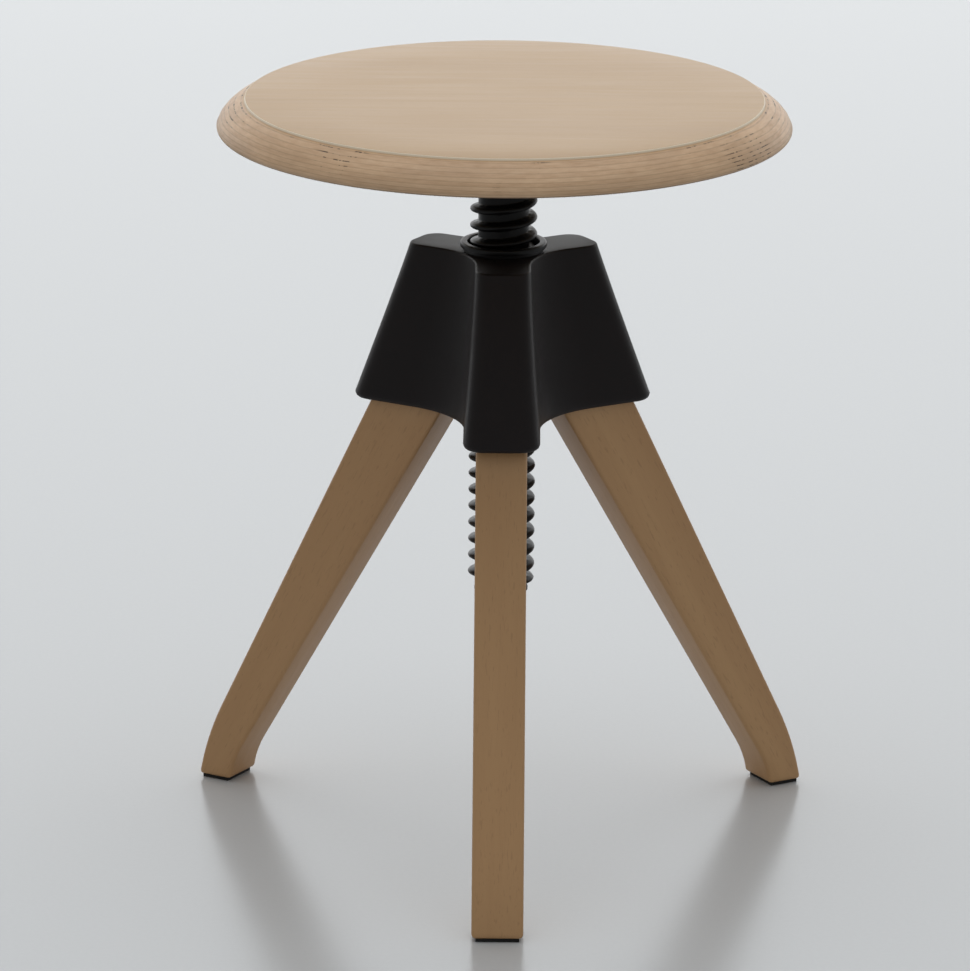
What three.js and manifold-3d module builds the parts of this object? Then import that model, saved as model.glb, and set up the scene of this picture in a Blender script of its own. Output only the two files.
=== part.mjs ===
// Adjustable swivel stool: a round plywood seat on a coarse threaded spindle, which screws
// through a nut in a three-armed hub, on three splayed beech legs with a turned-in foot.
// Millimetres, +Z up. The first leg points along -Y. The origin is on the floor, under the middle
// of the stool's bounding box, so the spindle's axis stands a little to +Y of it. The stool is
// drawn with its seat 481.5 mm above the floor.
import * as THREE from "three";
import { mergeVertices } from "three/addons/utils/BufferGeometryUtils.js";
import Module from "manifold-3d";

const wasm = await Module();
wasm.setup();

// ---- driving dimensions -------------------------------------------------------------------
const GAP = 0.3; // between pieces that touch
const OVERCUT = 1; // how far a cutting shape runs past the face it opens
const LEG_COUNT = 3;
const FIRST_LEG = -Math.PI / 2;

const SEAT_TOP = 481.5;
const SEAT_THICK = 21;
const SEAT_R = 180; // widest, near the underside
const SEAT_FLAT_R = 162; // flat sitting face, inside the moulded edge
const SEAT_POCKET = { r: 16, depth: 8 }; // clears the centre bolt's head

const PITCH = 10.8; // one turn of the seat raises it this far
const CORE_R = 16;
const CREST_R = 21.15;
const RIDGE_FOOT = 5.4; // thread ridge, along the axis
const RIDGE_CREST = 2.6;
const TURN_STEPS = 20;
const SPINDLE_BOTTOM = 163;
const THREAD_CLEARANCE = 0.45;

const FLANGE_R = 75;
const FLANGE_THICK = 5;
const BOSS_R = 27;
const BOSS_BOTTOM = 438;
const SOCKET_CLEARANCE = 0.35;
const PIN_R = 3;
const CENTRE_BOLT = { r: 5, headR: 8, head: 6 };
const SEAT_SCREW = { count: 6, ringR: 58, r: 2.2, holeR: 2.8, headR: 4.8, head: 2.7, depth: 11, point: 3 };

const WASHER = { r: 17, thick: 2.5, edge: 0.6 };
const END_BOLT = { r: 4, depth: 26, headR: 7.5, head: 5.3 };

const HUB_TOP = 383.3;
const HUB_BOTTOM = 278;
const HUB_LIP = 4; // height over which the bottom edge rounds in
// Each arm's half width and reach, the fillet between arms, and the corners of its end.
const ARM_TOP = { half: 17.4, reach: 63, fillet: 46, corner: 11 };
const ARM_BOTTOM = { half: 24, reach: 100, fillet: 70, corner: 13 };
const ARM_FLARE = 1.35; // how the width grows towards the bottom: 1 would be a straight taper
const HUB_EDGE = 1.5; // chamfer round the top

const NUT_R = 24;
const NUT_BOTTOM = 290;
const NUT_THREAD_TOP = 372;
const NUT_KEY = { reach: 26.5, width: 5, bottom: 360 };
const COLLAR_R = 27.25;
const COLLAR_TOP = 389.5;
const COLLAR_THICK = 3.6;
const COLLAR_NECK_R = 25;
const COLLAR_BORE_R = 22.8;
const COLLAR_EDGE = 0.8;

const LEG_WIDTH = 32;
const LEG_TOP = 335;
const LEG_INNER_CUT = 36; // inner face inside the hub is vertical, at this radius
const LEG_ARRIS = 1.5;
const SOCKET_GROW = 0.4;
// In the leg's plane each face is a straight line, which steepens along an arc from a start
// height down to the foot.
const OUTER_FACE = { atFloor: 228.8, slope: 0.508, start: 52, radius: 185 };
const INNER_FACE = { atFloor: 202.3, slope: 0.602, start: 25, radius: 60 };
const BEND_STEPS = 6;
const PAD_THICK = 2;
const PAD_INSET = 2.5;

const LEG_SCREW_HEIGHTS = { lower: 298, upper: 322 };
// start is the radius at which the screw's head ends, in the hub's bore wall.
const LEG_SCREW = { start: 31, r: 3, length: 25, headR: 5.5, head: 3.3, flat: 3.5, edge: 1.2 };
const INSERT = { r: 4.6, length: 15 };

// ---- derived heights and radii ------------------------------------------------------------
const SEAT_BOTTOM = SEAT_TOP - SEAT_THICK;
const FLANGE_TOP = SEAT_BOTTOM - GAP;
const FLANGE_BOTTOM = FLANGE_TOP - FLANGE_THICK;
const PIN_HEIGHT = (BOSS_BOTTOM + FLANGE_BOTTOM) / 2;
const SPINDLE_TOP = FLANGE_BOTTOM - GAP;
const THREAD_TOP = BOSS_BOTTOM - 2;
const WASHER_TOP = SPINDLE_BOTTOM - GAP;
const WASHER_BOTTOM = WASHER_TOP - WASHER.thick;
const COLLAR_BOTTOM = COLLAR_TOP - COLLAR_THICK;
const COLLAR_NECK_BOTTOM = HUB_TOP + GAP;
const INSERT_START = LEG_INNER_CUT + 1;
const FOOT_BOTTOM = PAD_THICK + GAP;

// ---- materials ----------------------------------------------------------------------------
const finish = (color, roughness, metalness = 0) =>
  new THREE.MeshStandardMaterial({ color, roughness, metalness });
const MATERIAL = {
  seat: finish(0xcfb08a, 0.5),
  beech: finish(0x8a6a45, 0.5),
  nylon: finish(0x1b1b1c, 0.55),
  spindle: finish(0x141415, 0.35),
  blackSteel: finish(0x1d1d1f, 0.45, 0.6),
  zinc: finish(0xb8b9ba, 0.35, 1),
  brass: finish(0xb08d4a, 0.35, 1),
  rubber: finish(0x121212, 0.85),
};

const stool = new THREE.Group();

// ---- solids -------------------------------------------------------------------------------
const solidOf = (geometry) => {
  const bare = geometry.clone();
  for (const name of Object.keys(bare.attributes)) if (name !== "position") bare.deleteAttribute(name);
  const merged = mergeVertices(bare, 1e-4);
  return new wasm.Manifold(
    new wasm.Mesh({
      numProp: 3,
      vertProperties: merged.attributes.position.array,
      triVerts: new Uint32Array(merged.index.array),
    }),
  );
};

const indexed = (points, faces) => {
  const geometry = new THREE.BufferGeometry();
  geometry.setAttribute("position", new THREE.BufferAttribute(points, 3));
  geometry.setIndex(new THREE.BufferAttribute(faces, 1));
  geometry.computeVertexNormals();
  return geometry;
};

const geometryOf = (solid) => {
  const { vertProperties, triVerts } = solid.getMesh();
  return indexed(vertProperties, triVerts);
};

const fromPoints = (points, faces) => indexed(new Float32Array(points.flat()), new Uint32Array(faces));

const without = (solid, cutters) => cutters.reduce((left, cutter) => left.subtract(solidOf(cutter)), solid);

const place = (name, geometry, material, parent = stool) => {
  const mesh = new THREE.Mesh(geometry, material);
  mesh.name = name;
  parent.add(mesh);
  return mesh;
};

// Turned about Z. The profile is a list of [radius, height], from the axis at the bottom to the
// axis at the top, or a closed ring.
const turned = (profile, segments) =>
  new THREE.LatheGeometry(profile.map(([r, z]) => new THREE.Vector2(r, z)), segments).rotateX(Math.PI / 2);

const rod = (radius, bottom, top, segments = 16) =>
  turned([[0, bottom], [radius, bottom], [radius, top], [0, top]], segments);

// Lays a piece made along Z down along +X, at a height.
const laidOut = (geometry, height) => geometry.rotateY(Math.PI / 2).translate(0, 0, height);

const radialRod = (radius, from, to, height) => laidOut(rod(radius, from, to, 12), height);

// Closes a stack of loops of equal length, each seen from its own centre, into one skin.
const lofted = (loops) => {
  const count = loops[0].length;
  const points = loops.flat();
  const faces = [];
  for (let row = 0; row + 1 < loops.length; row++)
    for (let i = 0; i < count; i++) {
      const a = row * count + i;
      const b = row * count + ((i + 1) % count);
      faces.push(a, b, b + count, a, b + count, a + count);
    }
  const cap = (row, flip) => {
    const centre = points.length;
    points.push([0, 0, loops[row][0][2]]);
    for (let i = 0; i < count; i++) {
      const a = row * count + i;
      const b = row * count + ((i + 1) % count);
      faces.push(...(flip ? [centre, b, a] : [centre, a, b]));
    }
  };
  cap(0, true);
  cap(loops.length - 1, false);
  return fromPoints(points, faces);
};

// A right-hand threaded rod: one helical strip of ridges around the axis, closed at each end by
// a fan to the axis, then cut square. grow widens the ridge and the core for a nut's clearance.
const threadedRod = (bottom, top, grow = 0) => {
  const core = CORE_R + grow;
  const crest = CREST_R + grow;
  const foot = (PITCH - RIDGE_FOOT) / 2 - grow / 2;
  const shoulder = (PITCH - RIDGE_CREST) / 2 - grow / 2;
  const profile = [
    [core, foot],
    [crest, shoulder],
    [crest, PITCH - shoulder],
    [core, PITCH - foot],
  ];
  const first = Math.floor(bottom / PITCH) - 1;
  const turns = Math.ceil(top / PITCH) + 1 - first;
  const columns = turns * TURN_STEPS + 1;
  const rows = profile.length;
  const points = [];
  for (let column = 0; column < columns; column++) {
    const angle = (column / TURN_STEPS) * 2 * Math.PI;
    const rise = (first + column / TURN_STEPS) * PITCH;
    for (const [r, z] of profile) points.push([r * Math.cos(angle), r * Math.sin(angle), rise + z]);
  }
  const at = (column, row) => column * rows + row;
  const faces = [];
  const quad = (a, b, c, d) => faces.push(a, b, c, a, c, d);
  for (let column = 0; column + 1 < columns; column++)
    for (let row = 0; row + 1 < rows; row++)
      quad(at(column, row), at(column + 1, row), at(column + 1, row + 1), at(column, row + 1));
  for (let column = 0; column + 1 + TURN_STEPS < columns; column++)
    quad(
      at(column, rows - 1),
      at(column + 1, rows - 1),
      at(column + 1 + TURN_STEPS, 0),
      at(column + TURN_STEPS, 0),
    );
  const fan = (loop, height) => {
    const centre = points.length;
    points.push([0, 0, height]);
    loop.forEach((point, i) => faces.push(centre, point, loop[(i + 1) % loop.length]));
  };
  const turn = [...Array(TURN_STEPS + 1).keys()];
  const lowLoop = turn.map((i) => at(i, 0)).reverse();
  for (let row = 1; row < rows; row++) lowLoop.push(at(0, row));
  const last = columns - 1;
  const highLoop = turn.map((i) => at(last - TURN_STEPS + i, rows - 1));
  for (let row = rows - 2; row >= 0; row--) highLoop.push(at(last, row));
  fan(lowLoop, first * PITCH - PITCH);
  fan(highLoop, (first + turns) * PITCH + PITCH);
  return solidOf(fromPoints(points, faces)).intersect(solidOf(rod(crest + 5, bottom, top, 24)));
};

const legAngle = (i) => FIRST_LEG + (i * 2 * Math.PI) / LEG_COUNT;

const legFrame = (i) => {
  const frame = new THREE.Group();
  frame.rotation.z = legAngle(i);
  stool.add(frame);
  return frame;
};

// ---- seat ---------------------------------------------------------------------------------
const seatScrews = [...Array(SEAT_SCREW.count).keys()];
const atSeatScrew = (geometry, i) => {
  const angle = ((i + 0.5) * 2 * Math.PI) / SEAT_SCREW.count;
  return geometry.translate(SEAT_SCREW.ringR * Math.cos(angle), SEAT_SCREW.ringR * Math.sin(angle), 0);
};

const seatPanel = () => {
  const moulding = [
    [SEAT_R - 5, SEAT_BOTTOM],
    [SEAT_R - 1.2, SEAT_BOTTOM + 1.2],
    [SEAT_R, SEAT_BOTTOM + 3.6],
    [SEAT_R - 2.5, SEAT_BOTTOM + 8],
    [SEAT_R - 8, SEAT_BOTTOM + 14],
    [SEAT_R - 14, SEAT_BOTTOM + 18],
    [SEAT_FLAT_R + 0.8, SEAT_TOP - 2],
    [SEAT_FLAT_R, SEAT_TOP],
  ];
  const profile = [
    [0, SEAT_BOTTOM + SEAT_POCKET.depth],
    [SEAT_POCKET.r, SEAT_BOTTOM + SEAT_POCKET.depth],
    [SEAT_POCKET.r, SEAT_BOTTOM],
    ...moulding,
    [0, SEAT_TOP],
  ];
  const pilotTop = FLANGE_TOP + SEAT_SCREW.depth + SEAT_SCREW.point + 2 * GAP;
  const pilots = seatScrews.map((i) =>
    atSeatScrew(rod(SEAT_SCREW.r + GAP, SEAT_BOTTOM - OVERCUT, pilotTop, 12), i),
  );
  return without(solidOf(turned(profile, 72)), pilots);
};
place("seat_panel", geometryOf(seatPanel()), MATERIAL.seat);

// ---- flange that carries the seat on the spindle ------------------------------------------
const seatFlange = () => {
  const boreR = CENTRE_BOLT.r + GAP;
  const socketR = CORE_R + SOCKET_CLEARANCE;
  const profile = [
    [boreR, FLANGE_TOP],
    [boreR, FLANGE_BOTTOM],
    [socketR, FLANGE_BOTTOM],
    [socketR, BOSS_BOTTOM],
    [BOSS_R - 3, BOSS_BOTTOM],
    [BOSS_R, BOSS_BOTTOM + 4],
    [BOSS_R + 6, FLANGE_BOTTOM],
    [FLANGE_R - 2, FLANGE_BOTTOM],
    [FLANGE_R, FLANGE_BOTTOM + 2],
    [FLANGE_R, FLANGE_TOP],
    [boreR, FLANGE_TOP],
  ];
  const holes = seatScrews.map((i) =>
    atSeatScrew(rod(SEAT_SCREW.holeR, FLANGE_BOTTOM - OVERCUT, FLANGE_TOP + OVERCUT, 12), i),
  );
  const pinHole = radialRod(PIN_R + GAP, -BOSS_R - 9, BOSS_R + 9, PIN_HEIGHT);
  return without(solidOf(turned(profile, 48)), [...holes, pinHole]);
};
place("seat_flange", geometryOf(seatFlange()), MATERIAL.blackSteel);

const seatScrew = () => {
  const { r, headR, head, depth, point } = SEAT_SCREW;
  const headTop = FLANGE_BOTTOM - GAP;
  const profile = [
    [0, headTop - head],
    [headR * 0.62, headTop - head + 0.1],
    [headR, headTop - head / 2],
    [headR, headTop],
    [r, headTop],
    [r, FLANGE_TOP + depth],
    [0, FLANGE_TOP + depth + point],
  ];
  return turned(profile, 12);
};
for (const i of seatScrews)
  place(`seat_screw_${i + 1}`, atSeatScrew(seatScrew(), i), MATERIAL.blackSteel);

// ---- spindle ------------------------------------------------------------------------------
const spindle = () => {
  const neck = solidOf(rod(CORE_R, THREAD_TOP - OVERCUT, SPINDLE_TOP, TURN_STEPS));
  const endHoleTop = SPINDLE_BOTTOM + END_BOLT.depth + 1;
  return without(threadedRod(SPINDLE_BOTTOM, THREAD_TOP).add(neck), [
    rod(END_BOLT.r + GAP, SPINDLE_BOTTOM - OVERCUT, endHoleTop),
    rod(CENTRE_BOLT.r + GAP, PIN_HEIGHT, SPINDLE_TOP + OVERCUT),
    radialRod(PIN_R + GAP, -CREST_R, CREST_R, PIN_HEIGHT),
  ]);
};
place("spindle", geometryOf(spindle()), MATERIAL.spindle);

// A washer under a bolt at the spindle's lower end. It is loose on the bolt, and catches on the
// nut's thread before the spindle can be wound out of it.
const stopWasher = () => {
  const holeR = END_BOLT.r + GAP;
  const profile = [
    [holeR, WASHER_BOTTOM],
    [WASHER.r - WASHER.edge, WASHER_BOTTOM],
    [WASHER.r, WASHER_BOTTOM + WASHER.edge],
    [WASHER.r, WASHER_TOP],
    [holeR, WASHER_TOP],
    [holeR, WASHER_BOTTOM],
  ];
  return turned(profile, 32);
};
place("stop_washer", stopWasher(), MATERIAL.blackSteel);

const endBolt = () => {
  const headTop = WASHER_BOTTOM - GAP;
  const shank = solidOf(rod(END_BOLT.r, headTop - OVERCUT, SPINDLE_BOTTOM + END_BOLT.depth));
  return solidOf(rod(END_BOLT.headR, headTop - END_BOLT.head, headTop, 6)).add(shank);
};
place("end_bolt", geometryOf(endBolt()), MATERIAL.blackSteel);
place("cross_pin", radialRod(PIN_R, -BOSS_R + 1, BOSS_R - 1, PIN_HEIGHT), MATERIAL.zinc);

// The bolt stops short of the cross pin.
const centreBolt = () => {
  const { r, headR, head } = CENTRE_BOLT;
  const end = PIN_HEIGHT + PIN_R + 2 * GAP;
  const underHead = FLANGE_TOP + GAP;
  const profile = [
    [0, end],
    [r, end],
    [r, underHead],
    [headR, underHead],
    [headR, underHead + head],
    [0, underHead + head],
  ];
  return turned(profile, 18);
};
place("centre_bolt", centreBolt(), MATERIAL.zinc);

// ---- nut in the hub -----------------------------------------------------------------------
// Three keys, one towards each leg, stop the nut turning in the hub. grow widens the keyways.
const nutKey = (turn, grow = 0) => {
  const inner = NUT_R - 3;
  const outer = NUT_KEY.reach + grow;
  const bottom = NUT_KEY.bottom - grow;
  const top = COLLAR_NECK_BOTTOM + grow;
  return new THREE.BoxGeometry(outer - inner, NUT_KEY.width + 2 * grow, top - bottom)
    .translate((inner + outer) / 2, 0, (bottom + top) / 2)
    .rotateZ(turn);
};

const spindleNut = () => {
  const profile = [
    [0, NUT_BOTTOM],
    [NUT_R - 1, NUT_BOTTOM],
    [NUT_R, NUT_BOTTOM + 1],
    [NUT_R, COLLAR_NECK_BOTTOM],
    [COLLAR_NECK_R, COLLAR_NECK_BOTTOM],
    [COLLAR_NECK_R, COLLAR_BOTTOM],
    [COLLAR_R - COLLAR_EDGE, COLLAR_BOTTOM],
    [COLLAR_R, COLLAR_BOTTOM + COLLAR_EDGE],
    [COLLAR_R, COLLAR_TOP - COLLAR_EDGE],
    [COLLAR_R - COLLAR_EDGE, COLLAR_TOP],
    [0, COLLAR_TOP],
  ];
  let sleeve = solidOf(turned(profile, 40));
  for (let i = 0; i < LEG_COUNT; i++) sleeve = sleeve.add(solidOf(nutKey(legAngle(i))));
  const threaded = threadedRod(NUT_BOTTOM - 2, NUT_THREAD_TOP + OVERCUT, THREAD_CLEARANCE);
  return without(sleeve.subtract(threaded), [rod(COLLAR_BORE_R, NUT_THREAD_TOP, COLLAR_TOP + OVERCUT, 40)]);
};
place("spindle_nut", geometryOf(spindleNut()), MATERIAL.nylon);

// ---- legs ---------------------------------------------------------------------------------
const faceRadius = ({ atFloor, slope, start, radius }, height) => {
  if (height >= start) return atFloor - slope * height;
  const tilt = Math.atan(slope);
  const centreHeight = start - radius * Math.sin(tilt);
  const centreRadius = atFloor - slope * start - radius * Math.cos(tilt);
  return centreRadius + Math.sqrt(radius ** 2 - (height - centreHeight) ** 2);
};

// A face's bend, from the foot up to where the face is straight, moved outwards by grow.
const bend = (face, grow) => {
  const points = [];
  for (let i = 0; i <= BEND_STEPS; i++) {
    const height = FOOT_BOTTOM + ((face.start - FOOT_BOTTOM) * i) / BEND_STEPS;
    points.push(new THREE.Vector2(faceRadius(face, height) + grow, height));
  }
  return points;
};

// Leg outline in its plane, radius against height. grow widens it for the hub's socket.
const legOutline = (grow) => {
  const outwards = grow * 1.1;
  const inner = LEG_INNER_CUT - grow;
  const cutHeight = (INNER_FACE.atFloor - LEG_INNER_CUT) / INNER_FACE.slope;
  return new THREE.Shape([
    ...bend(INNER_FACE, -grow),
    new THREE.Vector2(inner, cutHeight),
    new THREE.Vector2(inner, LEG_TOP + grow),
    new THREE.Vector2(faceRadius(OUTER_FACE, LEG_TOP) + outwards, LEG_TOP + grow),
    ...bend(OUTER_FACE, outwards).reverse(),
  ]);
};

// Extruded across the leg, centred on its plane, with small chamfers along the edges.
const legBlank = (grow, bevel) => {
  const width = LEG_WIDTH + 2 * grow;
  const blank = new THREE.ExtrudeGeometry(legOutline(grow), {
    depth: width - 2 * bevel,
    bevelEnabled: bevel > 0,
    bevelThickness: bevel,
    bevelSize: bevel,
    bevelOffset: -bevel,
    bevelSegments: 1,
    steps: 1,
  });
  return blank.translate(0, 0, -width / 2 + bevel).rotateX(Math.PI / 2);
};

const legScrew = (height) => {
  const { start, r, length, headR, head, flat, edge } = LEG_SCREW;
  const profile = [
    [0, start - head],
    [flat, start - head],
    [headR, start - edge],
    [headR, start],
    [r, start],
    [r, start + length],
    [0, start + length],
  ];
  return laidOut(turned(profile, 12), height);
};

const legInsert = (height) => {
  const holeR = LEG_SCREW.r + GAP;
  const end = INSERT_START + INSERT.length;
  const profile = [
    [holeR, INSERT_START],
    [INSERT.r, INSERT_START],
    [INSERT.r, end],
    [holeR, end],
    [holeR, INSERT_START],
  ];
  return laidOut(turned(profile, 12), height);
};

const leg = () => {
  const insertEnd = INSERT_START + INSERT.length + GAP;
  const screwEnd = LEG_SCREW.start + LEG_SCREW.length + 1;
  const holes = Object.values(LEG_SCREW_HEIGHTS).flatMap((height) => [
    radialRod(INSERT.r + GAP, LEG_INNER_CUT - OVERCUT, insertEnd, height),
    radialRod(LEG_SCREW.r + GAP, LEG_INNER_CUT, screwEnd, height),
  ]);
  return without(solidOf(legBlank(0, LEG_ARRIS)), holes);
};

const footPad = () => {
  const inner = faceRadius(INNER_FACE, 0) + PAD_INSET;
  const outer = faceRadius(OUTER_FACE, 0) - PAD_INSET;
  const pad = new THREE.BoxGeometry(outer - inner, LEG_WIDTH - 2 * PAD_INSET, PAD_THICK);
  return pad.translate((inner + outer) / 2, 0, PAD_THICK / 2);
};

for (let i = 0; i < LEG_COUNT; i++) {
  const frame = legFrame(i);
  const number = i + 1;
  place(`leg_${number}`, geometryOf(leg()), MATERIAL.beech, frame);
  place(`foot_pad_${number}`, footPad(), MATERIAL.rubber, frame);
  for (const [which, height] of Object.entries(LEG_SCREW_HEIGHTS)) {
    place(`leg_screw_${number}_${which}`, legScrew(height), MATERIAL.zinc, frame);
    place(`leg_insert_${number}_${which}`, legInsert(height), MATERIAL.brass, frame);
  }
}

// ---- hub ----------------------------------------------------------------------------------
// One level of the hub: three arms with rounded corners, joined by concave fillets.
const hubLoop = ({ half, reach, fillet, corner }, height) => {
  const third = (2 * Math.PI) / LEG_COUNT;
  const valley = half / Math.sin(third / 2); // where two arms' flanks would meet
  const tangent = fillet * Math.tan(third / 4);
  const filletStart = half / Math.tan(third / 2) + tangent;
  const filletSteps = 6;
  const cornerSteps = 3;
  const sector = [];
  const centre = valley + fillet / Math.cos(third / 4);
  const bisector = third / 2;
  const sweep = third / 4;
  for (let i = 0; i <= cornerSteps; i++) {
    const angle = (i / cornerSteps) * (Math.PI / 2);
    sector.push([reach - corner + corner * Math.cos(angle), half - corner + corner * Math.sin(angle)]);
  }
  for (let i = 0; i <= filletSteps; i++) {
    const angle = bisector + Math.PI + sweep - (2 * sweep * i) / filletSteps;
    sector.push([
      centre * Math.cos(bisector) + fillet * Math.cos(angle),
      centre * Math.sin(bisector) + fillet * Math.sin(angle),
    ]);
  }
  // the next arm's near corner
  for (let i = 0; i <= cornerSteps; i++) {
    const angle = -Math.PI / 2 + (i / cornerSteps) * (Math.PI / 2);
    const x = reach - corner + corner * Math.cos(angle);
    const y = -half + corner + corner * Math.sin(angle);
    sector.push([x * Math.cos(third) - y * Math.sin(third), x * Math.sin(third) + y * Math.cos(third)]);
  }
  if (filletStart > reach - corner) throw new Error("the arms are too short for their fillets");
  const loop = [];
  for (let k = 0; k < LEG_COUNT; k++) {
    const turn = FIRST_LEG + k * third;
    for (const [x, y] of sector)
      loop.push([x * Math.cos(turn) - y * Math.sin(turn), x * Math.sin(turn) + y * Math.cos(turn), height]);
  }
  return loop;
};

const mix = (a, b, t) => a + (b - a) * t;
const hubLevel = (t) => ({
  half: mix(ARM_TOP.half, ARM_BOTTOM.half, t ** ARM_FLARE),
  reach: mix(ARM_TOP.reach, ARM_BOTTOM.reach, t),
  fillet: mix(ARM_TOP.fillet, ARM_BOTTOM.fillet, t),
  corner: mix(ARM_TOP.corner, ARM_BOTTOM.corner, t),
});
const shrunk = (level, by) => ({
  half: level.half - by,
  reach: level.reach - by,
  fillet: level.fillet + by,
  corner: Math.max(level.corner - by, 1),
});

const hubBlank = () => {
  const side = 7;
  const loops = [
    hubLoop(shrunk(hubLevel(1), 3.2), HUB_BOTTOM),
    hubLoop(shrunk(hubLevel(1), 1), HUB_BOTTOM + 0.3 * HUB_LIP),
  ];
  for (let i = side; i >= 0; i--) {
    const t = i / side;
    loops.push(hubLoop(hubLevel(t), mix(HUB_TOP - HUB_EDGE, HUB_BOTTOM + HUB_LIP, t)));
  }
  loops.push(hubLoop(shrunk(hubLevel(0), HUB_EDGE), HUB_TOP));
  return lofted(loops);
};

const hub = () => {
  const cutters = [rod(NUT_R + GAP, HUB_BOTTOM - OVERCUT, HUB_TOP + OVERCUT, 40)];
  for (let i = 0; i < LEG_COUNT; i++) {
    const turn = legAngle(i);
    cutters.push(nutKey(turn, GAP), legBlank(SOCKET_GROW, 0).rotateZ(turn));
    for (const height of Object.values(LEG_SCREW_HEIGHTS)) {
      cutters.push(radialRod(LEG_SCREW.headR + GAP, 0, LEG_SCREW.start + GAP, height).rotateZ(turn));
      cutters.push(radialRod(LEG_SCREW.r + GAP, 0, LEG_INNER_CUT + 2, height).rotateZ(turn));
    }
  }
  return without(solidOf(hubBlank()), cutters);
};
place("hub", geometryOf(hub()), MATERIAL.nylon);

// The bounding box runs from the first foot to the far edge of the seat.
stool.position.y = (faceRadius(OUTER_FACE, FOOT_BOTTOM) - SEAT_R) / 2;

export default stool;
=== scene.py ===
"""The looks of an adjustable swivel stool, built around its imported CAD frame.

The stool's lengths are in millimetres and become metres in new_mesh(). Its heights are above the
floor, and its radii are from the spindle's axis. The first leg points along -Y. The floor, the
lights, the camera and the scales of the materials are in metres.
"""

import math

import bmesh
import bpy
from mathutils import Euler, Matrix, Vector


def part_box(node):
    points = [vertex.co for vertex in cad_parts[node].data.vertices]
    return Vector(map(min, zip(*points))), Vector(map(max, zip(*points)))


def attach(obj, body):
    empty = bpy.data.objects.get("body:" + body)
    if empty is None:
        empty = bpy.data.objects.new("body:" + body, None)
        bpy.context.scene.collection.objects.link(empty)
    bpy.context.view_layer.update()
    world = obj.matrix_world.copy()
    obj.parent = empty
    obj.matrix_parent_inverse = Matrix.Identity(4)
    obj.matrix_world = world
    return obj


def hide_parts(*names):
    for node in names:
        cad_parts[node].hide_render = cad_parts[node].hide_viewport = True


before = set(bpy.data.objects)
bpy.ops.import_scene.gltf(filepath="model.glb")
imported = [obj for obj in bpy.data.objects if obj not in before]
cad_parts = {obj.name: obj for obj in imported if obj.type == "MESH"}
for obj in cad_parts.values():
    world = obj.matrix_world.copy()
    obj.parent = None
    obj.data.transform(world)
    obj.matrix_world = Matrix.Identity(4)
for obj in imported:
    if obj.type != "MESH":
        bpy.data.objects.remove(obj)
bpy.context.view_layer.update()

MM = 0.001
TAU = 2 * math.pi
THIRD = TAU / 3


def span(node, axis):
    """A CAD node's lowest and highest coordinate along an axis, in millimetres."""
    low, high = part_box(node)
    return low[axis] / MM, high[axis] / MM


def middle(node, axis):
    low, high = span(node, axis)
    return (low + high) / 2


def half_width(node):
    """Half of a CAD node's extent along X, which is the radius of a round one."""
    low, high = span(node, 0)
    return (high - low) / 2


# ---- sizes, taken from the frame where it has them --------------------------------------------
AXIS = Vector((middle("spindle_nut", 0), middle("seat_panel", 1), 0))
LEG_AZIMUTHS = [math.radians(-90 + 120 * i) for i in range(3)]
GAP = 0.3  # between pieces that touch

SEAT_BOTTOM, SEAT_TOP = span("seat_panel", 2)
SEAT_THICK = SEAT_TOP - SEAT_BOTTOM
SEAT_R = half_width("seat_panel")
SEAT_EDGE_WIDTH = 18
SEAT_FLAT_R = SEAT_R - SEAT_EDGE_WIDTH
SEAT_ARRIS = 0.8
SEAT_BOTTOM_ROUND = 3.4
# the slope as (in from the rim, above the bottom), and the drop as (past the flat, under the top)
SEAT_SLOPE = [(2.0, 8.2), (4.6, 11.4), (7.8, 14.2), (11.2, 16.5), (14.2, 18.2), (16.4, 19.2)]
SEAT_DROP = [(1.0, 1.7), (0.75, 1.4), (0.6, 0.9)]
SEAT_RINGS = (60, 120)  # extra rings of points on the flat faces
POCKET_R = 16
POCKET_DEPTH = 8
VENEER_EDGE = 8  # how far in from the rim the veneer may start
PLIES = 9

SPINDLE_BOTTOM, SPINDLE_TOP = span("spindle", 2)
THREAD_RUNOUT = 2
THREAD_TOP = span("seat_flange", 2)[0] - THREAD_RUNOUT
THREAD_COLUMNS = 64
PITCH = 10.8
CORE_R = 16
CREST_R = half_width("spindle")
RIDGE_HALF = 0.245  # half the thread ridge's width, as a share of the pitch
RIDGE_FULLNESS = 0.9  # 1 is an elliptical ridge, and less is fuller
THREAD_START = 0.5  # a ridge's height above the floor at +X, in pitches, less any whole ones
LEAD_IN = 2.0  # the length at each end over which the core grows to full size
LEAD_SLOPE = 1.6  # how steeply the ridge grows beyond it
END_CHAMFER = 1.2
NECK_R = CORE_R - 0.2
NECK_STEP = 1

HUB_BOTTOM, HUB_TOP = span("hub", 2)
HUB_TOP_ROUND = 1.5
HUB_BOTTOM_ROUND = 3.6
ARM_TOP = {"half": 17.4, "reach": 63, "fillet": 46, "corner": 11}
ARM_BOTTOM = {"half": 24, "reach": 100, "fillet": 70, "corner": 13}
ARM_FLARE = 1.35  # over 1, an arm widens faster towards its bottom
ARM_LEAST_CORNER = 0.8
CORNER_STEPS = 6
FLANK_STEPS = 4
FILLET_STEPS = 24
SIDE_STEPS = 24
BOTTOM_ROUND_STEPS = 6
TOP_ROUND_STEPS = 5

NUT_BOTTOM, COLLAR_TOP = span("spindle_nut", 2)
NUT_R = 24
NUT_CHAMFER = 1
NUT_THREAD_TOP = 372
THREAD_CLEARANCE = 0.45
COLLAR_R = half_width("spindle_nut")
COLLAR_BORE_R = 22.8
COLLAR_NECK_R = 25
COLLAR_THICK = 3.6
COLLAR_BOTTOM = COLLAR_TOP - COLLAR_THICK
COLLAR_INNER_ROUND = 0.9
COLLAR_OUTER_ROUND = 1.3
COLLAR_UNDER_ROUND = 0.6

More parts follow.
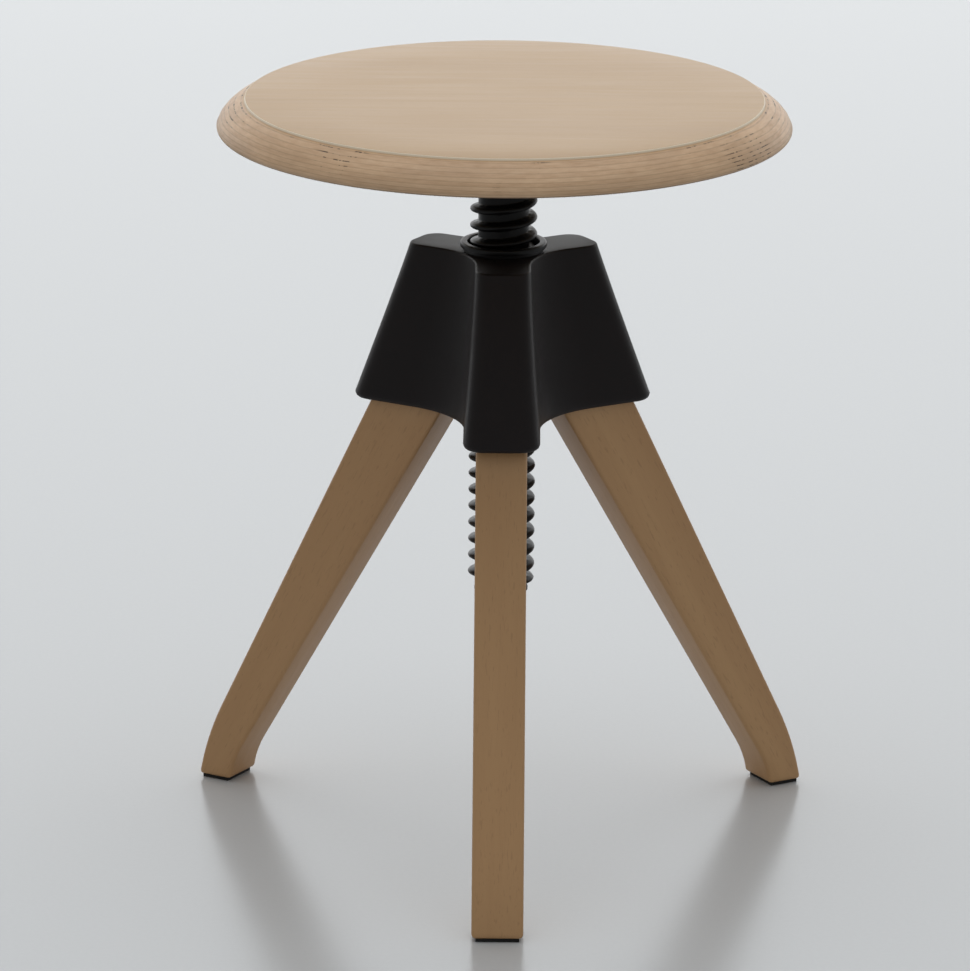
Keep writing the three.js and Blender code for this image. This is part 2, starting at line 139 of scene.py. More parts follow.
LEG_HALF = half_width("leg_1")
LEG_BOTTOM, LEG_TOP = span("leg_1", 2)
LEG_OUTER = {"at_floor": 228.8, "slope": 0.508, "start": 52, "radius": 185}
LEG_INNER = {"at_floor": 202.3, "slope": 0.602, "start": 25, "radius": 60}
LEG_INNER_CUT = 36
LEG_CUT_HEIGHT = (LEG_INNER["at_floor"] - LEG_INNER_CUT) / LEG_INNER["slope"]
LEG_LEAN = math.atan((LEG_OUTER["slope"] + LEG_INNER["slope"]) / 2)
LEG_BEND_TOP = 56
LEG_BEND_STEPS = 12
LEG_RINGS = (110, 170, 230)  # extra levels on the straight part
LEG_ARRIS = 2.6
SOCKET_GAP = 0.4
SOCKET_PAST = 30  # how far a socket's cutter reaches below the hub
BORE_PAST = 5  # how far the bore's cutter reaches past the hub at each end
GRAIN_SHIFT = 0.7  # metres along the grain from one leg's pattern to the next's

FLOOR_REACH = 14
SKY_COLOUR = (0.97, 0.99, 1.0, 1)
SKY_STRENGTH = 0.38
WINDOW = {
    "place": (0, 4.2, 1.45),
    "target": (0, 0, 1.45),
    "size": (12.0, 2.9),
    "power": 131,
    "colour": (0.98, 0.99, 1.0),
}
CEILING = {
    "place": (0, 0.3, 3.2),
    "target": (0, 0, 0.35),
    "size": (3.0, 3.0),
    "power": 27,
    "colour": (1, 1, 1),
}
LENS_LENGTH = 261.9
SENSOR_WIDTH = 36
LENS_SHIFT = (0.0436, 0.0457)
CAMERA_PLACE = Vector((0.0115, -4.3, 1.4845))  # from the spindle's axis, at the floor
CAMERA_DOWN = 16.64
CAMERA_ASIDE = 0.65
CAMERA_ROLL = 0.3


# ---- meshes -----------------------------------------------------------------------------------
def new_mesh(name, verts, faces, smooth=True):
    """An object on the spindle's axis from points in millimetres."""
    mesh = bpy.data.meshes.new(name)
    mesh.from_pydata([(Vector(v) + AXIS) * MM for v in verts], [], faces)
    obj = bpy.data.objects.new(name, mesh)
    bpy.context.scene.collection.objects.link(obj)
    work = bmesh.new()
    work.from_mesh(mesh)
    bmesh.ops.remove_doubles(work, verts=work.verts, dist=1e-7)
    bmesh.ops.recalc_face_normals(work, faces=work.faces)
    work.to_mesh(mesh)
    work.free()
    if smooth:
        mesh.shade_smooth()
    else:
        mesh.shade_flat()
    return obj


def sharpen(obj, degrees=32):
    """Marks edges that turn by more than this as sharp, so that shading stays crisp there."""
    work = bmesh.new()
    work.from_mesh(obj.data)
    for edge in work.edges:
        if len(edge.link_faces) == 2:
            edge.smooth = edge.calc_face_angle(0) < math.radians(degrees)
    work.to_mesh(obj.data)
    work.free()
    return obj


def arc(centre, radius, start, end, steps):
    """Points on an arc, angles in degrees."""
    points = []
    for i in range(steps + 1):
        angle = math.radians(start + (end - start) * i / steps)
        points.append((centre[0] + radius * math.cos(angle), centre[1] + radius * math.sin(angle)))
    return points


def turned(x, y, azimuth):
    """A point turned about Z."""
    c, s = math.cos(azimuth), math.sin(azimuth)
    return x * c - y * s, x * s + y * c


def loft(name, loops, smooth=True):
    """A closed mesh through level loops, which all have the same number of points."""
    count = len(loops[0])
    verts = [v for loop in loops for v in loop]
    faces = []
    for row in range(len(loops) - 1):
        for i in range(count):
            j = (i + 1) % count
            faces.append((row * count + i, row * count + j, (row + 1) * count + j, (row + 1) * count + i))
    faces.append(tuple(range(count)))
    faces.append(tuple(range(len(verts) - count, len(verts))))
    return new_mesh(name, verts, faces, smooth)


def lathe(name, profile, segments=96):
    """Turns a (radius, height) profile, which starts and ends on the axis, about Z."""
    verts, faces = [], []
    rows = len(profile)
    for i in range(segments):
        angle = TAU * i / segments
        for r, z in profile:
            verts.append(Vector((r * math.cos(angle), r * math.sin(angle), z)))
    for i in range(segments):
        j = (i + 1) % segments
        for k in range(rows - 1):
            m = k + 1
            face = [i * rows + k, j * rows + k, j * rows + m, i * rows + m]
            if profile[k][0] == 0:
                face = [face[0], face[2], face[3]]
            elif profile[m][0] == 0:
                face = [face[0], face[1], face[2]]
            faces.append(face)
    return sharpen(new_mesh(name, verts, faces))


def apply_modifiers(obj):
    bpy.context.view_layer.update()
    shown = obj.evaluated_get(bpy.context.evaluated_depsgraph_get())
    done = bpy.data.meshes.new_from_object(shown)
    obj.modifiers.clear()
    obj.data = done
    return obj


def cut(obj, tools):
    """Subtracts the tools from obj, and removes them."""
    for tool in tools:
        modifier = obj.modifiers.new("cut", "BOOLEAN")
        modifier.object = tool
        modifier.solver = "EXACT"
    apply_modifiers(obj)
    for tool in tools:
        bpy.data.objects.remove(tool)
    return obj


def finish(obj, body, material, node):
    """Gives a piece its body and its finish, and hides the CAD node it stands for."""
    obj.data.materials.clear()
    obj.data.materials.append(material)
    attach(obj, body)
    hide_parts(node)


# ---- materials --------------------------------------------------------------------------------
class Nodes:
    """Short names for building a node tree."""

    def __init__(self, name):
        self.material = bpy.data.materials.new(name)
        self.material.use_nodes = True
        self.tree = self.material.node_tree
        self.shader = self.tree.nodes["Principled BSDF"]

    def add(self, kind, inputs=None, **settings):
        node = self.tree.nodes.new(kind)
        for key, value in settings.items():
            setattr(node, key, value)
        for key, value in (inputs or {}).items():
            self.feed(node.inputs[key], value)
        return node

    def feed(self, socket, value):
        if isinstance(value, bpy.types.NodeSocket):
            self.tree.links.new(value, socket)
        else:
            socket.default_value = value

    def set(self, **values):
        for key, value in values.items():
            self.feed(self.shader.inputs[key.replace("_", " ")], value)

    def where(self):
        return self.add("ShaderNodeTexCoord").outputs["Object"]

    def scaled(self, vector, scale):
        return self.add("ShaderNodeMapping", {"Vector": vector, "Scale": scale}).outputs["Vector"]

    def noise(self, vector, scale, detail=3.0, roughness=0.55, distortion=0.0):
        inputs = {
            "Vector": vector,
            "Scale": scale,
            "Detail": detail,
            "Roughness": roughness,
            "Distortion": distortion,
        }
        return self.add("ShaderNodeTexNoise", inputs).outputs["Fac"]

    def mix(self, factor, a, b):
        node = self.add("ShaderNodeMix", data_type="RGBA")
        self.feed(node.inputs[0], factor)
        for socket, value in ((node.inputs[6], a), (node.inputs[7], b)):
            self.feed(socket, (*value, 1) if isinstance(value, tuple) else value)
        return node.outputs[2]

    def math(self, operation, a, b=0.0):
        node = self.add("ShaderNodeMath", operation=operation)
        self.feed(node.inputs[0], a)
        self.feed(node.inputs[1], b)
        return node.outputs[0]

    def fade(self, value, low, high, out_low=0.0, out_high=1.0):
        inputs = {"Value": value, "From Min": low, "From Max": high, "To Min": out_low, "To Max": out_high}
        return self.add("ShaderNodeMapRange", inputs, clamp=True).outputs["Result"]

    def bump(self, height, strength, distance):
        inputs = {"Height": height, "Strength": strength, "Distance": distance}
        return self.add("ShaderNodeBump", inputs).outputs["Normal"]

    def edges(self):
        """How convex the surface is, for worn edges: 0 on flats, 1 on edges."""
        point = self.add("ShaderNodeNewGeometry").outputs["Pointiness"]
        return self.fade(point, 0.5, 0.62)


def srgb(r, g, b):
    """Linear colour from a screen colour out of 255."""
    def linear(c):
        c /= 255
        return c / 12.92 if c <= 0.04045 else ((c + 0.055) / 1.055) ** 2.4
    return linear(r), linear(g), linear(b)


def beech(name, tones, along, flecked):
    """Lacquered beech with its grain along one axis of the object's own space ('X' or 'Z'). tones
    are its light, dark and fleck colours, and flecked is how strongly the darker ones show."""
    light, dark, fleck = tones

    def along_grain(share):
        return {"X": (share, 1, 1), "Z": (1, 1, share)}[along]

    n = Nodes(name)
    place = n.where()
    stretched = n.scaled(place, along_grain(0.06))
    broad = n.noise(stretched, 14, 2.0, 0.5, 0.6)
    fine = n.noise(stretched, 160, 4.0, 0.6, 0.3)
    pores = n.noise(n.scaled(place, along_grain(0.035)), 1400, 1.0, 0.5)
    body = n.mix(n.fade(broad, 0.3, 0.72), light, dark)
    body = n.mix(n.fade(fine, 0.35, 0.75, 0.0, flecked), body, dark)
    rays = n.noise(n.scaled(place, along_grain(0.16)), 900, 1.0, 0.4)
    body = n.mix(n.fade(rays, 0.64, 0.72, 0.0, flecked), body, fleck)
    body = n.mix(n.fade(pores, 0.62, 0.75, 0.0, 0.5 * flecked), body, fleck)
    n.set(Base_Color=body, Roughness=n.fade(fine, 0.2, 0.8, 0.38, 0.52))
    n.set(Coat_Weight=0.15, Coat_Roughness=0.28, IOR=1.5)
    n.set(Normal=n.bump(n.math("ADD", fine, n.math("MULTIPLY", pores, 0.5)), 0.12, 0.0004))
    return n.material


def end_grain_share(n, x, y, level):
    """How far each ply shows its end grain: every other ply, swapping over round the seat."""
    odd = n.math("GREATER_THAN", n.math("MODULO", level, 2.0), 1.0)
    radius = n.math("SQRT", n.math("ADD", n.math("MULTIPLY", x, x), n.math("MULTIPLY", y, y)))
    sideways = n.math("DIVIDE", n.math("ABSOLUTE", x), radius)
    sideways = n.fade(sideways, 0.25, 0.95)
    return n.math("ABSOLUTE", n.math("SUBTRACT", odd, sideways))


def ply_wood(n, place, end_grain, streaks):
    """The colour of the plies, from long grain to end grain, with darker patches."""
    patches = n.noise(n.scaled(place, (0.25, 0.25, 1)), 90, 3.0, 0.5)
    long_grain = n.mix(n.fade(streaks, 0.3, 0.75), srgb(236, 201, 163), srgb(221, 183, 145))
    across = n.mix(n.fade(streaks, 0.3, 0.7), srgb(224, 186, 148), srgb(202, 163, 125))
    body = n.mix(n.math("MULTIPLY", end_grain, 0.45), long_grain, across)
    return n.mix(n.fade(patches, 0.35, 0.75, 0.0, 0.3), body, srgb(150, 116, 88))


def glue_lines(n, place, level):
    """The lines between plies, and the dark dashes where a joint is open here and there."""
    within = n.math("FRACT", level)
    near = n.math("MINIMUM", within, n.math("SUBTRACT", 1.0, within))
    line = n.fade(near, 0.03, 0.15, 1.0, 0.0)
    dashes = n.noise(n.scaled(place, (1, 1, 0.2)), 150, 3.0, 0.65)
    rare = n.fade(n.noise(place, 17, 1.0), 0.52, 0.6)
    open_joint = n.math("MULTIPLY", n.math("MULTIPLY", line, n.fade(dashes, 0.52, 0.57)), rare)
    return line, open_joint


def plywood_edge():
    """The moulded edge: plies as level bands, lighter along the grain and darker across it."""
    n = Nodes("plywood_edge")
    place = n.where()
    parts = n.add("ShaderNodeSeparateXYZ", {"Vector": place})
    x = parts.outputs["X"]
    y = n.math("SUBTRACT", parts.outputs["Y"], AXIS.y * MM)
    z = n.math("SUBTRACT", parts.outputs["Z"], SEAT_BOTTOM * MM)
    wobble = n.math("MULTIPLY", n.math("SUBTRACT", n.noise(place, 22, 2.0), 0.5), 0.0011)
    level = n.math("DIVIDE", n.math("ADD", z, wobble), SEAT_THICK * MM / PLIES)
    end_grain = end_grain_share(n, x, y, level)
    streaks = n.noise(n.scaled(place, (0.12, 0.12, 1)), 900, 3.0, 0.6)
    body = ply_wood(n, place, end_grain, streaks)
    line, open_joint = glue_lines(n, place, level)
    body = n.mix(n.math("MULTIPLY", line, 0.22), body, srgb(120, 88, 62))
    body = n.mix(n.math("MULTIPLY", open_joint, 0.95), body, srgb(48, 32, 21))
    # a painted highlight along the top arris, and painted shade along the round under the bottom one
    highlight_from, highlight_to = (SEAT_THICK - 1.6) * MM, (SEAT_THICK - 1.0) * MM
    body = n.mix(n.fade(z, highlight_from, highlight_to, 0.0, 0.95), body, srgb(255, 240, 214))
    # painted shade along the bottom round, darkest at the very bottom
    body = n.mix(n.fade(z, 0.4 * MM, 1.8 * MM, 0.75, 0.0), body, srgb(82, 56, 38))
    n.set(Base_Color=body, Roughness=n.fade(streaks, 0.2, 0.8, 0.42, 0.55), IOR=1.5)
    n.set(Coat_Weight=0.08, Coat_Roughness=0.3, Specular_IOR_Level=0.35)
    height = n.math("SUBTRACT", n.math("MULTIPLY", streaks, 0.5), n.math("MULTIPLY", open_joint, 1.2))
    n.set(Normal=n.bump(height, 0.25, 0.0005))
    return n.material


def moulded(name, colour, worn, roughness, grain, shine):
    """Black moulded plastic: a fine texture, with edges rubbed to a worn colour and smoother."""
    n = Nodes(name)
    place = n.where()
    texture = n.noise(place, 2600, 2.0, 0.6)
    drift = n.noise(place, 26, 3.0, 0.5)
    edge = n.edges()
    body = n.mix(n.fade(drift, 0.3, 0.7), colour, tuple(c * 1.35 for c in colour))
    body = n.mix(n.math("MULTIPLY", edge, 0.5), body, worn)
    rough = n.math("ADD", n.fade(drift, 0.3, 0.7, roughness - 0.05, roughness + 0.05),
                   n.math("MULTIPLY", edge, -0.1))
    n.set(Base_Color=body, Roughness=rough, IOR=1.5, Specular_IOR_Level=shine)
    n.set(Normal=n.bump(texture, grain, 0.00025))
    return n.material


def metal(name, colour, roughness, metallic=1.0, brushed=0.0):
    """Plated or painted metal, with faint mottling and optional turning marks."""
    n = Nodes(name)
    place = n.where()
    mottle = n.noise(place, 180, 4.0, 0.6)
    lines = n.noise(n.scaled(place, (1, 1, 14)), 700, 2.0, 0.5)
    body = n.mix(n.fade(mottle, 0.3, 0.7), colour, tuple(c * 0.78 for c in colour))
    n.set(Base_Color=body, Metallic=metallic)
    n.set(Roughness=n.fade(mottle, 0.25, 0.75, roughness - 0.06, roughness + 0.08))
    n.set(Normal=n.bump(n.math("ADD", n.math("MULTIPLY", lines, brushed), mottle), 0.12, 0.0002))
    return n.material


def rubber():
    n = Nodes("pad_rubber")
    place = n.where()
    specks = n.noise(place, 900, 3.0, 0.6)
    dust = n.noise(place, 60, 3.0, 0.6)
    body = n.mix(n.fade(dust, 0.4, 0.8, 0.0, 0.5), srgb(26, 25, 25), srgb(58, 56, 54))
    n.set(Base_Color=body, Roughness=n.fade(specks, 0.3, 0.7, 0.75, 0.92))
    n.set(Normal=n.bump(specks, 0.3, 0.0003))
    return n.material


VENEER_TONES = (srgb(205, 169, 121), srgb(194, 156, 108), srgb(174, 134, 90))
LEG_TONES = (srgb(203, 160, 112), srgb(182, 138, 93), srgb(150, 110, 71))

SEAT_VENEER = beech("seat_veneer", VENEER_TONES, along="X", flecked=0.18)
PLY_EDGE = plywood_edge()
LEG_BEECH = beech("leg_beech", LEG_TONES, along="Z", flecked=0.25)
HUB_BLACK = moulded("hub_black", srgb(29, 24, 24), srgb(33, 28, 28), roughness=0.5, grain=0.45, shine=0.2)
COLLAR_BLACK = moulded(
    "collar_black", srgb(15, 14, 14), srgb(22, 21, 21), roughness=0.4, grain=0.12, shine=0.25
)
SPINDLE_BLACK = moulded(
    "spindle_black", srgb(13, 11, 10), srgb(18, 16, 15), roughness=0.38, grain=0.1, shine=0.2
)
POWDER_BLACK = metal("powder_black", srgb(30, 30, 31), roughness=0.5, metallic=0.0)
ZINC = metal("zinc_plate", srgb(196, 196, 192), roughness=0.32, brushed=0.6)
BRASS = metal("brass", srgb(190, 155, 90), roughness=0.3, brushed=0.6)
RUBBER = rubber()


# ---- seat -------------------------------------------------------------------------------------
def seat_panel():
    """The round seat: a flat top with a crisp arris, a small drop, and a slope out to a round
    bottom edge. A pocket in its underside is over the spindle's end."""
    pocket_top = SEAT_BOTTOM + POCKET_DEPTH
    profile = [(0, pocket_top), (POCKET_R, pocket_top), (POCKET_R, SEAT_BOTTOM)]
    profile += [(r, SEAT_BOTTOM) for r in SEAT_RINGS]
    round_centre = (SEAT_R - SEAT_BOTTOM_ROUND, SEAT_BOTTOM + SEAT_BOTTOM_ROUND)
    profile += arc(round_centre, SEAT_BOTTOM_ROUND, -90, 10, 8)
    profile += [(SEAT_R - inset, SEAT_BOTTOM + height) for inset, height in SEAT_SLOPE]
    profile += [(SEAT_FLAT_R + past, SEAT_TOP - depth) for past, depth in SEAT_DROP]
    profile += arc((SEAT_FLAT_R - 0.2, SEAT_TOP - SEAT_ARRIS), SEAT_ARRIS, 10, 90, 4)
    profile += [(r, SEAT_TOP) for r in reversed(SEAT_RINGS)]
    profile.append((0, SEAT_TOP))
    return lathe("seat_panel_moulded", profile, 240)


def lay_plies(seat):
    """Gives everything but the flat faces the look of the plies."""
    seat.data.materials.append(PLY_EDGE)
    for polygon in seat.data.polygons:
        away = polygon.center / MM - AXIS
        level = abs(polygon.normal.z) > 0.97
        veneered = level and away.xy.length < SEAT_R - VENEER_EDGE
        polygon.material_index = 0 if veneered else 1


seat = seat_panel()
finish(seat, "seat", SEAT_VENEER, "seat_panel")
lay_plies(seat)


# ---- spindle ----------------------------------------------------------------------------------
def thread_radius(phase, core, crest, ridge):
    """Radius of the rounded thread at a phase of one pitch: a round ridge on a plain core. ridge
    is half the ridge's width, as a share of the pitch."""
    away = abs((phase + 0.5) % 1 - 0.5)
    if away >= ridge:
        return core
    rise = math.sqrt(1 - (away / ridge) ** 2)
    return core + (crest - core) * rise ** RIDGE_FULLNESS


def thread_surface(grow, bottom, top, rows):
    """Points of a threaded surface, as (angle, radius, height) on a grid of columns round the axis
    and rows up it. grow moves the core, the crest and the flanks outwards, for a nut's clearance."""
    ridge = RIDGE_HALF + grow / PITCH
    grid = []
    for column in range(THREAD_COLUMNS):
        angle = TAU * column / THREAD_COLUMNS
        line = []
        for row in range(rows + 1):
            z = bottom + (top - bottom) * row / rows
            phase = (z - THREAD_START * PITCH) / PITCH - angle / TAU
            line.append((angle, thread_radius(phase, CORE_R + grow, CREST_R + grow, ridge), z))
        grid.append(line)
    return grid


def skin(name, grid, caps=()):
    """A mesh from thread_surface(). Each cap closes one row to a point on the axis at a height."""
    verts, faces = [], []
    rows = len(grid[0])
    for line in grid:
        verts += [(r * math.cos(a), r * math.sin(a), z) for a, r, z in line]
    for i in range(len(grid)):
        j = (i + 1) % len(grid)
        for k in range(rows - 1):
            faces.append((i * rows + k, j * rows + k, j * rows + k + 1, i * rows + k + 1))
    for at, z in caps:
        centre = len(verts)
        verts.append((0, 0, z))
        for i in range(len(grid)):
            j = (i + 1) % len(grid)
            faces.append((i * rows + at, j * rows + at, centre))
    return new_mesh(name, verts, faces)


def end_limit(z):
    """The largest radius that the thread may have at a height, near either of its ends."""
    end = min(z - SPINDLE_BOTTOM, THREAD_TOP - z)
    grown = min(end, LEAD_IN) / LEAD_IN * END_CHAMFER
    return CORE_R - END_CHAMFER + grown + max(end - LEAD_IN, 0) * LEAD_SLOPE


def spindle():
    """The threaded spindle, with a plain neck that goes up into the flange."""
    rows_per_turn = 18
    turns = (THREAD_TOP - SPINDLE_BOTTOM) / PITCH
    grid = thread_surface(0, SPINDLE_BOTTOM, THREAD_TOP, round(turns * rows_per_turn))
    for line in grid:
        for k, (angle, r, z) in enumerate(line):
            line[k] = (angle, min(r, end_limit(z)), z)
        angle = line[0][0]
        line.append((angle, NECK_R, THREAD_TOP + NECK_STEP))
        line.append((angle, NECK_R, SPINDLE_TOP - NECK_STEP))
        line.append((angle, CORE_R - END_CHAMFER, SPINDLE_TOP))
    rows = len(grid[0])
    return skin("spindle_threaded", grid, [(0, SPINDLE_BOTTOM), (rows - 1, SPINDLE_TOP)])


finish(spindle(), "seat", SPINDLE_BLACK, "spindle")


# ---- nut and its collar -----------------------------------------------------------------------
def collar_outline():
    """The collar and the sleeve's outside, from the thread's top over and down to the bottom."""
    inner, outer, under = COLLAR_INNER_ROUND, COLLAR_OUTER_ROUND, COLLAR_UNDER_ROUND
    outline = [(COLLAR_BORE_R, NUT_THREAD_TOP), (COLLAR_BORE_R, COLLAR_TOP - inner)]
    outline += arc((COLLAR_BORE_R + inner, COLLAR_TOP - inner), inner, 180, 90, 4)[1:]
    outline += arc((COLLAR_R - outer, COLLAR_TOP - outer), outer, 90, 0, 5)
    outline += arc((COLLAR_R - under, COLLAR_BOTTOM + under), under, 0, -90, 3)
    outline += [(COLLAR_NECK_R, COLLAR_BOTTOM), (COLLAR_NECK_R, HUB_TOP + GAP)]
    outline += [(NUT_R, HUB_TOP + GAP), (NUT_R, NUT_BOTTOM + NUT_CHAMFER)]
    outline.append((NUT_R - NUT_CHAMFER, NUT_BOTTOM))
    return outline


def nut():
    """A sleeve with an inside thread, and a collar ring standing on the hub around a recess."""
    rows_per_turn = 16
    turns = (NUT_THREAD_TOP - NUT_BOTTOM) / PITCH
    grid = thread_surface(THREAD_CLEARANCE, NUT_BOTTOM, NUT_THREAD_TOP, round(turns * rows_per_turn))
    outline = collar_outline()
    for line in grid:
        line += [(line[0][0], r, z) for r, z in outline]
        line.append(line[0])
    return sharpen(skin("nut_and_collar", grid), 40)


finish(nut(), "base", COLLAR_BLACK, "spindle_nut")


# ---- hub --------------------------------------------------------------------------------------
def mix(a, b, t):
    return a + (b - a) * t


def arm_side(half, reach, fillet, corner):
    """One side of an arm along +X: its rounded corner, then its flank."""
    side = []
    for i in range(CORNER_STEPS + 1):
        angle = i / CORNER_STEPS * math.pi / 2
        side.append((reach - corner + corner * math.cos(angle), half - corner + corner * math.sin(angle)))
    flank_end = half / math.tan(THIRD / 2) + fillet * math.tan(THIRD / 4)
    for i in range(1, FLANK_STEPS):
        side.append((mix(reach - corner, flank_end, i / FLANK_STEPS), half))
    return side


def arm_fillet(half, fillet):
    """The concave fillet between the arm along +X and the next one."""
    centre = half / math.sin(THIRD / 2) + fillet / math.cos(THIRD / 4)
    sweep = THIRD / 4
    points = []
    for i in range(FILLET_STEPS + 1):
        angle = THIRD / 2 + math.pi + sweep - 2 * sweep * i / FILLET_STEPS
        points.append((centre * math.cos(THIRD / 2) + fillet * math.cos(angle),
                       centre * math.sin(THIRD / 2) + fillet * math.sin(angle)))
    return points


def hub_outline(half, reach, fillet, corner, height):
    """One level of the hub: three arms with rounded corners, joined by concave fillets."""
    side = arm_side(half, reach, fillet, corner)
    sector = side + arm_fillet(half, fillet)
    c, s = math.cos(THIRD), math.sin(THIRD)
    sector += [(x * c + y * s, x * s - y * c) for x, y in reversed(side)]
    loop = []
    for azimuth in LEG_AZIMUTHS:
        loop += [(*turned(x, y, azimuth), height) for x, y in sector]
    return loop


def hub_level(t, inset):
    """The arms' sizes at a share t of the way down, drawn in by an inset."""
    level = {}
    for key in ARM_TOP:
        bend = t ** ARM_FLARE if key == "half" else t
        level[key] = mix(ARM_TOP[key], ARM_BOTTOM[key], bend)
    level["half"] -= inset
    level["reach"] -= inset
    level["fillet"] += inset
    level["corner"] = max(level["corner"] - inset, ARM_LEAST_CORNER)
    return level


def hub_levels():
    """The hub's levels from its bottom up, as (share of the way down, inset, height)."""
    levels = []
    for i in range(BOTTOM_ROUND_STEPS + 1):
        angle = i / BOTTOM_ROUND_STEPS * math.pi / 2
        inset = HUB_BOTTOM_ROUND * (1 - math.sin(angle))
        levels.append((1.0, inset, HUB_BOTTOM + HUB_BOTTOM_ROUND * (1 - math.cos(angle))))
    low, high = HUB_BOTTOM + HUB_BOTTOM_ROUND, HUB_TOP - HUB_TOP_ROUND
    for i in range(1, SIDE_STEPS):
        t = 1 - i / SIDE_STEPS
        levels.append((t, 0.0, mix(high, low, t)))
    for i in range(TOP_ROUND_STEPS + 1):
        angle = i / TOP_ROUND_STEPS * math.pi / 2
        inset = HUB_TOP_ROUND * (1 - math.cos(angle))
        levels.append((0.0, inset, high + HUB_TOP_ROUND * math.sin(angle)))
    return levels


def hub():
    """The black moulding, with soft edges, open sockets for the legs and a bore for the nut."""
    loops = [hub_outline(height=z, **hub_level(t, inset)) for t, inset, z in hub_levels()]
    body = sharpen(loft("hub_moulding", loops))
    bore_r, bore_low, bore_high = NUT_R + GAP, HUB_BOTTOM - BORE_PAST, HUB_TOP + BORE_PAST
    tools = [lathe("bore", [(0, bore_low), (bore_r, bore_low), (bore_r, bore_high), (0, bore_high)])]
    socket_levels = [HUB_BOTTOM - SOCKET_PAST, LEG_CUT_HEIGHT, LEG_TOP + SOCKET_GAP]
    for azimuth in LEG_AZIMUTHS:
        tools.append(leg_block("socket", azimuth, SOCKET_GAP, socket_levels))
    return sharpen(cut(body, tools), 40)


# ---- legs -------------------------------------------------------------------------------------
def bent_line(height, at_floor, slope, start, radius):
    """Radius of a leg's edge: a straight line that steepens along an arc near the floor."""
    if height >= start:
        return at_floor - slope * height
    tilt = math.atan(slope)
    centre_height = start - radius * math.sin(tilt)
    centre = at_floor - slope * start - radius * math.cos(tilt)
    return centre + math.sqrt(radius ** 2 - (height - centre_height) ** 2)


def outer_edge(height):
    return bent_line(height, **LEG_OUTER)


def inner_edge(height):
    return max(bent_line(height, **LEG_INNER), LEG_INNER_CUT)


def leg_block(name, azimuth, grow, heights):
    """A leg's solid through the given heights, in place, with its four sides moved outwards."""
    half = LEG_HALF + grow
    loops = []
    for z in heights:
        outer, inner = outer_edge(z) + grow, inner_edge(z) - grow
        ring = [(outer, half), (inner, half), (inner, -half), (outer, -half)]
        loops.append([(*turned(x, y, azimuth), z) for x, y in ring])
    return loft(name, loops, smooth=False)


def leg(number):
    """A tapering beech leg with a turned-in foot and soft arrises. Its own Z runs along its grain."""
    azimuth = LEG_AZIMUTHS[number - 1]
    rise = LEG_BEND_TOP - LEG_BOTTOM
    heights = [LEG_BOTTOM + rise * i / LEG_BEND_STEPS for i in range(LEG_BEND_STEPS + 1)]
    heights += [*LEG_RINGS, LEG_CUT_HEIGHT, LEG_TOP]
    obj = leg_block(f"leg_{number}_beech", azimuth, 0, heights)
    own_space = Matrix.Translation(AXIS * MM) @ Matrix.Rotation(azimuth, 4, "Z")
    own_space = own_space @ Matrix.Rotation(-LEG_LEAN, 4, "Y")
    own_space = own_space @ Matrix.Translation(Vector((0, 0, number * GRAIN_SHIFT)))
    obj.data.transform(own_space.inverted())
    obj.matrix_world = own_space
    bevel = obj.modifiers.new("arris", "BEVEL")
    bevel.width = LEG_ARRIS * MM
    bevel.segments = 4
    bevel.limit_method = "ANGLE"
    bevel.angle_limit = math.radians(40)
    apply_modifiers(obj)
    obj.data.shade_smooth()
    return sharpen(obj, 30)


for number in (1, 2, 3):
    finish(leg(number), "base", LEG_BEECH, f"leg_{number}")
finish(hub(), "base", HUB_BLACK, "hub")


# ---- carried-over CAD nodes -------------------------------------------------------------------
def dress(node, material):
    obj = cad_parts[node]
    obj.data.materials.clear()
    obj.data.materials.append(material)


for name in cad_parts:
    if "insert" in name:
        dress(name, BRASS)
    elif name.startswith("leg_screw") or name in ("cross_pin", "centre_bolt"):
        dress(name, ZINC)
    elif name.startswith(("seat_screw", "seat_flange")) or name in ("stop_washer", "end_bolt"):
        dress(name, POWDER_BLACK)
    elif name.startswith("foot_pad"):
        dress(name, RUBBER)


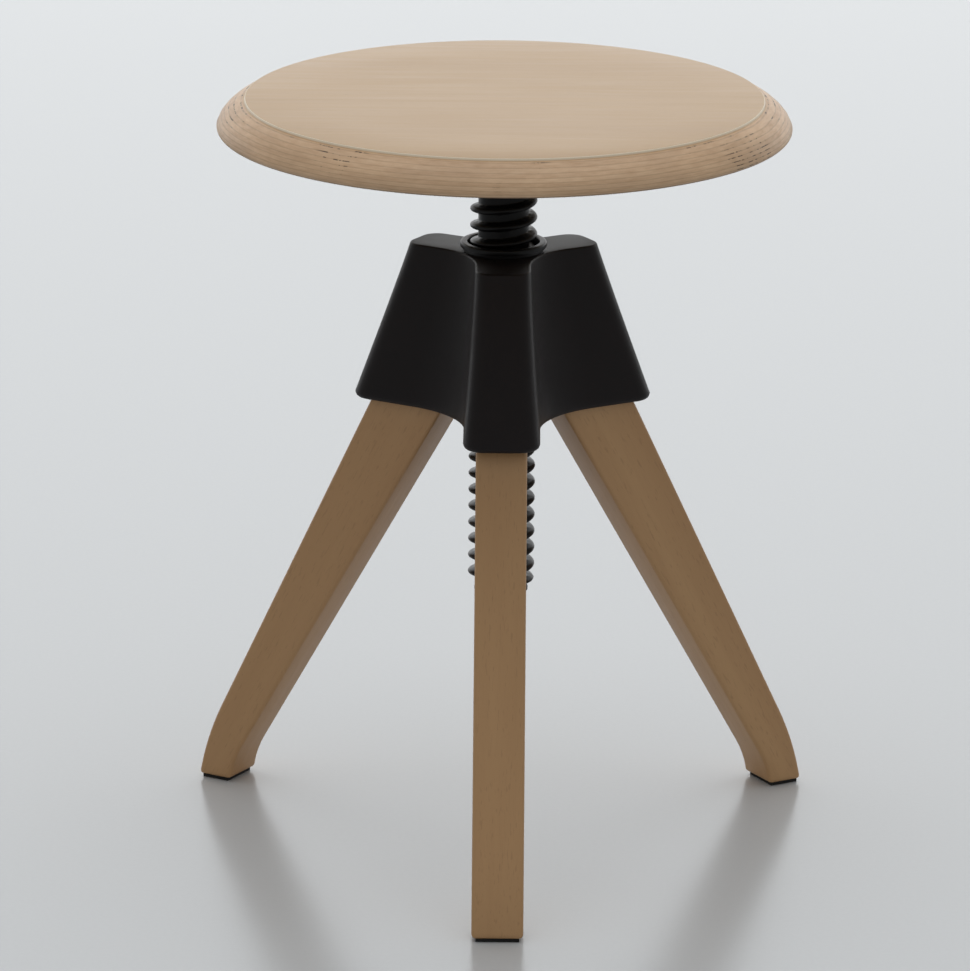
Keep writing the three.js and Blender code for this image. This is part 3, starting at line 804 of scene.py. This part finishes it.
# ---- floor, light and camera ------------------------------------------------------------------
def floor():
    n = Nodes("floor_paint")
    place = n.where()
    grit = n.noise(place, 320, 2.0, 0.5)
    body = n.mix(n.fade(grit, 0.3, 0.7), srgb(208, 211, 213), srgb(206, 209, 211))
    n.set(Base_Color=body, Roughness=n.fade(grit, 0.3, 0.7, 0.21, 0.23), IOR=1.45)
    mesh = bpy.data.meshes.new("floor")
    corners = [(-1, -1), (1, -1), (1, 1), (-1, 1)]
    verts = [(x * FLOOR_REACH, y * FLOOR_REACH, 0) for x, y in corners]
    mesh.from_pydata(verts, [], [(0, 1, 2, 3)])
    mesh.materials.append(n.material)
    obj = bpy.data.objects.new("floor", mesh)
    bpy.context.scene.collection.objects.link(obj)


def area_light(name, place, target, size, power, colour):
    light = bpy.data.lights.new(name, "AREA")
    light.shape = "RECTANGLE"
    light.size, light.size_y = size
    light.energy = power
    light.color = colour
    obj = bpy.data.objects.new(name, light)
    obj.location = place
    obj.rotation_euler = (Vector(target) - Vector(place)).to_track_quat("-Z", "Y").to_euler()
    bpy.context.scene.collection.objects.link(obj)


def surroundings():
    world = bpy.data.worlds.new("studio")
    world.use_nodes = True
    background = world.node_tree.nodes["Background"]
    background.inputs["Color"].default_value = SKY_COLOUR
    background.inputs["Strength"].default_value = SKY_STRENGTH
    bpy.context.scene.world = world
    bpy.context.scene.view_settings.view_transform = "Standard"
    area_light("window", **WINDOW)
    area_light("ceiling", **CEILING)


def camera():
    """Where the stool is seen from: far back, a little above, with the front leg towards it."""
    lens = bpy.data.cameras.new("camera")
    lens.sensor_fit = "HORIZONTAL"
    lens.sensor_width = SENSOR_WIDTH
    lens.lens = LENS_LENGTH
    lens.shift_x, lens.shift_y = LENS_SHIFT
    lens.clip_end = 60
    obj = bpy.data.objects.new("camera", lens)
    obj.location = CAMERA_PLACE + AXIS * MM
    aim = Euler((math.radians(90 - CAMERA_DOWN), 0, math.radians(CAMERA_ASIDE))).to_matrix()
    obj.rotation_euler = (aim @ Matrix.Rotation(math.radians(CAMERA_ROLL), 3, "Z")).to_euler()
    bpy.context.scene.collection.objects.link(obj)
    bpy.context.scene.camera = obj


floor()
surroundings()
camera()
